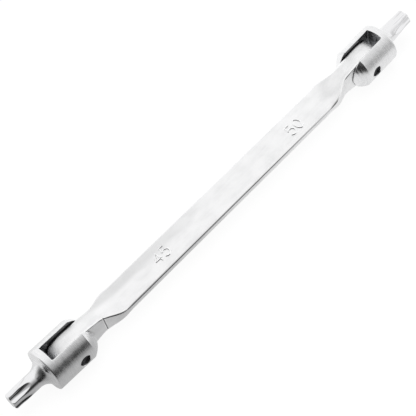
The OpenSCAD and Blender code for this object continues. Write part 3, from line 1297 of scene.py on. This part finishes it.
@dataclass
class SizeMark:
    """A plain size number forged in low relief on the bar's upper face, as ridges along strokes."""

    end: End
    middle: Pair
    bar: HandleBar
    height: float = 5.9
    half_figure: float = 0.31
    pitch: float = 4.9
    stroke: float = 0.42
    relief: float = 0.3
    root: float = 0.3
    slope: float = 0.5
    step: float = 0.12
    ridge_columns: int = 12

    @staticmethod
    def bow(centre: Pair, radii: Pair, start: float, stop: float, count: int = 40) -> list[Pair]:
        """Points of an ellipse's arc.

        Args:
            centre: its centre.
            radii: its two radii.
            start: first angle in degrees.
            stop: last angle in degrees.
            count: how many points.

        Returns:
            The points along the arc.
        """
        turn = np.radians(np.linspace(start, stop, count))
        points = np.array(centre) + np.array(radii) * np.stack([np.cos(turn), np.sin(turn)], axis=1)
        return [tuple(point) for point in points]

    def strokes(self, figure: str) -> list[tuple[list[Pair], bool]]:
        """Draws one figure in a box of height 1.

        Args:
            figure: which figure, 0, 4 or 5.

        Returns:
            The points of each stroke, and whether it is a closed loop.
        """
        forms = {
            "4": [([(0.46, 1.0), (0.0, 0.3), (0.62, 0.3)], False), ([(0.46, 0.97), (0.46, 0.0)], False)],
            "5": [([(0.55, 1.0), (0.12, 1.0), *self.bow((0.28, 0.32), (0.32, 0.32), 140, -150)], False)],
            "0": [(self.bow((0.3, 0.5), (0.3, 0.5), 90, 450)[:-1], True)],
        }
        return forms[figure]

    def ridge(self, stroke: Sequence[Pair], closed: bool, offset: float) -> Array:
        """A ridge carried along a stroke, with sloping sides and a root inside the bar.

        The stroke is cut into even steps. Across it, the height is an S-curve of the distance from the
        side, and both fade on a quarter circle at the ends of an open stroke.

        Args:
            stroke: the stroke's corner points.
            closed: whether it is a loop.
            offset: place of the figure along the number.

        Returns:
            A grid of steps by columns by 3, in the row frame.
        """
        corners = np.array([*stroke, stroke[0]] if closed else stroke) * self.height
        length = np.concatenate([[0], np.cumsum(np.hypot(*np.diff(corners, axis=0).T))])
        along = np.linspace(0, length[-1], int(length[-1] / self.step) + 1)
        path = np.stack([np.interp(along, length, corners[:, k]) for k in (0, 1)], axis=1)
        run = np.gradient(path, axis=0)
        if closed:
            path = path[:-1]
            run = np.roll(path, -1, axis=0) - np.roll(path, 1, axis=0)
            along = along[:-1]
        run = run / np.linalg.norm(run, axis=1, keepdims=True)
        across = np.stack([-run[:, 1], run[:, 0]], axis=1)
        near = np.minimum(along, length[-1] - along) / self.stroke
        full = np.ones_like(near) if closed else np.sqrt(1 - (1 - np.clip(near, 0, 1)) ** 2)
        share = np.linspace(-1, 1, self.ridge_columns + 1)
        top = smooth_step(0, self.slope, 1 - np.abs(share))
        share = np.concatenate([share, [1.0, -1.0]])
        lift = np.concatenate([self.relief * top, [-self.root, -self.root]])
        plan = path[:, None] + across[:, None] * (full[:, None] * share * self.stroke)[..., None]
        x = self.middle[0] + offset + plan[..., 0] - self.half_figure * self.height
        y = self.middle[1] + plan[..., 1] - 0.5 * self.height
        flat = self.bar.half_width - self.bar.rounding
        face = HEAD.axis_height + self.bar.half_thickness - self.bar.crown * (y / flat) ** 2
        rise = np.where(lift > 0, lift * full[:, None], lift)
        return np.stack([x, y, face + rise], axis=-1)

    def build(self, material: Material) -> None:
        """Builds both figures and dresses them.

        Args:
            material: the figures' finish.
        """
        skin = Skin()
        for place, figure in zip((-0.5, 0.5), self.end.value):
            for stroke, closed in self.strokes(figure):
                grid = self.ridge(stroke, closed, place * self.pitch)
                skin.add(np.concatenate([grid, grid[:1]]) if closed else grid, ring=True)
        dress(skin.sew(f"size_mark_{self.end.value}"), material, "handle", "satin_chrome_bar")


@dataclass
class Studio:
    """White floor, soft light, a bright tent with a dark camera side, and the camera.

    The tent's spans are parts of a direction of length 1, and the floor's are in millimetres.
    """

    lens: float = 96.0381
    sensor: float = 36.0
    clip: Pair = (0.01, 50.0)
    location: Triple = (-0.1729, -0.24203, 0.42408)
    right: Triple = (0.67634, -0.71977, -0.15653)
    up: Triple = (0.66255, 0.5016, 0.55625)
    ambient: float = 0.55
    dark_towards: Triple = (-0.75, -0.65, 0.2)
    dark_span: Pair = (-0.02, 0.7)
    dark_depth: float = 0.93
    front_lean: float = 0.5
    front_spans: tuple[Pair, Pair, Pair] = ((0.05, -0.04), (0.0, -0.35), (0.62, 0.4))
    front_depth: float = 0.8
    top_span: Pair = (0.74, 0.97)
    top_light: float = 0.5
    floor_half: float = 4.0
    floor_white: float = 1.02
    matte_grey: float = 0.9
    matte_share: float = 0.12
    matte_span: Pair = (800, 300)
    # The floor's glow as the metal sees it, in millimetres: it varies along the tool, and is painted
    # darker in front of it, far out in front and at the small end's tip, as painted shade.
    near_span: Pair = (30, -20)
    far_span: Pair = (0, -140)
    far_depth: float = 0.36
    behind_span: Pair = (-120, -50)
    behind_light: Pair = (0.8, 0.27)
    ahead_span: Pair = (-140, 140)
    ahead_light: Pair = (0.42, 0.46)
    tip_span: Pair = (-115, -135)
    tip_depth: float = 0.12
    lamps: tuple[tuple[str, Triple, float, float], ...] = (
        ("top_lamp", (0.1, 0.15, 1.2), 1.2, 9.0),
        ("side_lamp", (-0.9, -0.5, 0.9), 0.8, 4.0),
    )

    def set_camera(self) -> None:
        """Places the camera by its two image axes."""
        data = bpy.data.cameras.new("camera")
        data.lens, data.sensor_width = self.lens, self.sensor
        data.clip_start, data.clip_end = self.clip
        camera = add_object("camera", data)
        right = Vector(self.right).normalized()
        back = right.cross(Vector(self.up)).normalized()
        upward = back.cross(right)
        turn = Matrix((right, upward, back)).transposed().to_4x4()
        camera.matrix_world = Matrix.Translation(self.location) @ turn
        bpy.context.scene.camera = camera

    def set_world(self) -> None:
        """Makes the tent: white to the camera; in reflections bright, with a dark side and a grey top."""
        world = bpy.data.worlds.new("tent")
        world.use_nodes = True
        bpy.context.scene.world = world
        graph = Graph(world.node_tree)
        x, y, z = graph.axes(graph.node("TexCoord").outputs["Generated"])
        to_x, to_y, to_z = self.dark_towards
        dark = (to_x * x + to_y * y + to_z * z).rise(*self.dark_span)
        left, near, low = self.front_spans
        front = (x + self.front_lean * y).rise(*left) * y.rise(*near) * z.rise(*low)
        shown = (1 - self.dark_depth * dark) * (1 - self.front_depth * front)
        shown = shown.most(self.top_light * z.rise(*self.top_span))
        path = graph.node("LightPath").outputs
        camera = Number(graph, path["Is Camera Ray"])
        glossy = Number(graph, path["Is Glossy Ray"]).most(Number(graph, path["Is Transmission Ray"]))
        strength = camera + (1 - camera) * (self.ambient + glossy * (shown - self.ambient))
        light = graph.node("Background", {"Color": (1, 1, 1, 1), "Strength": strength})
        graph.node("OutputWorld", {"Surface": light.outputs[0]})

    def set_floor(self) -> None:
        """Lays the white floor, which keeps a faint shadow; in the metal it shows a pale grey glow that
        is painted darker, as shade, in front of the tool and towards its small end.
        """
        material = bpy.data.materials.new("floor_white")
        material.use_nodes = True
        graph = Graph(material.node_tree)
        path = graph.node("LightPath").outputs
        camera = Number(graph, path["Is Camera Ray"])
        glossy = Number(graph, path["Is Glossy Ray"])
        x, y, _ = graph.axes(graph.place())
        # Painted shade in the floor's glow as the metal sees it: darker in front of the tool, far out in
        # front and at the small end's tip.
        near, far = y.rise(*self.near_span), y.rise(*self.far_span)
        behind = self.behind_light[0] + self.behind_light[1] * x.rise(*self.behind_span)
        ahead = self.ahead_light[0] + self.ahead_light[1] * x.rise(*self.ahead_span)
        ahead = ahead - self.tip_depth * x.rise(*self.tip_span)
        painted_floor_reflection = behind + (ahead - behind) * near - self.far_depth * far
        strength = camera * self.floor_white + glossy * painted_floor_reflection
        glow = graph.node("Emission", {"Color": (1, 1, 1, 1), "Strength": strength})
        matte = graph.node("BsdfDiffuse", {"Color": (*[self.matte_grey] * 3, 1)})
        share = self.matte_share * abs(x).most(abs(y)).rise(*self.matte_span)
        both = graph.node("MixShader", {0: share, 1: glow.outputs[0], 2: matte.outputs[0]})
        graph.node("OutputMaterial", {"Surface": both.outputs[0]})
        half = self.floor_half
        corners = [(-half, -half, 0), (half, -half, 0), (half, half, 0), (-half, half, 0)]
        mesh = bpy.data.meshes.new("floor")
        mesh.from_pydata(corners, [], [(0, 1, 2, 3)])
        mesh.materials.append(material)
        floor = add_object("floor", mesh)

    def set_lamps(self) -> None:
        """Hangs two broad soft lamps, which light the floor and leave the metal to the tent."""
        for name, place, size, power in self.lamps:
            data = bpy.data.lights.new(name, "AREA")
            data.size, data.energy = size, power
            lamp = add_object(name, data)
            aim = Vector(place).to_track_quat("Z", "Y").to_matrix().to_4x4()
            lamp.matrix_world = Matrix.Translation(place) @ aim
            lamp.visible_glossy = False

    def build(self) -> None:
        """Sets up the whole studio."""
        bpy.context.scene.view_settings.view_transform = "Standard"
        self.set_camera()
        self.set_world()
        self.set_floor()
        self.set_lamps()


def main() -> None:
    """Builds the tool piece by piece, then the studio."""
    logging.basicConfig(level=logging.INFO, format="%(message)s")
    bar = HandleBar()
    chrome = SatinBarChrome("satin_bar_chrome", bar).material()
    figures = SatinBarChrome("size_mark_chrome", bar, smooth=0.16, rough=0.26).material()
    balls = BallSteel("ball_steel").material()
    wire = DrawnWireSteel("drawn_wire_steel").material()
    bar.build(chrome)
    SwivelHead(
        End.SMALL, lobe=3.91, flute=2.76, flute_radius=1.796, flute_length=2.2, neck=4.1, roll=4.0
    ).build()
    SwivelHead(
        End.LARGE, lobe=4.415, flute=3.17, flute_radius=1.816, flute_length=3.6, neck=4.6, roll=-29.0
    ).build()
    for end, middle in MARK_PLACES.items():
        PivotPin(end).build()
        brake = FrictionBrake(end)
        for side in Side:
            brake.build_ball(side, balls)
        brake.build_spring(wire)
        SizeMark(end, middle, bar).build(figures)
    Studio().build()


if __name__ == "__main__":
    main()
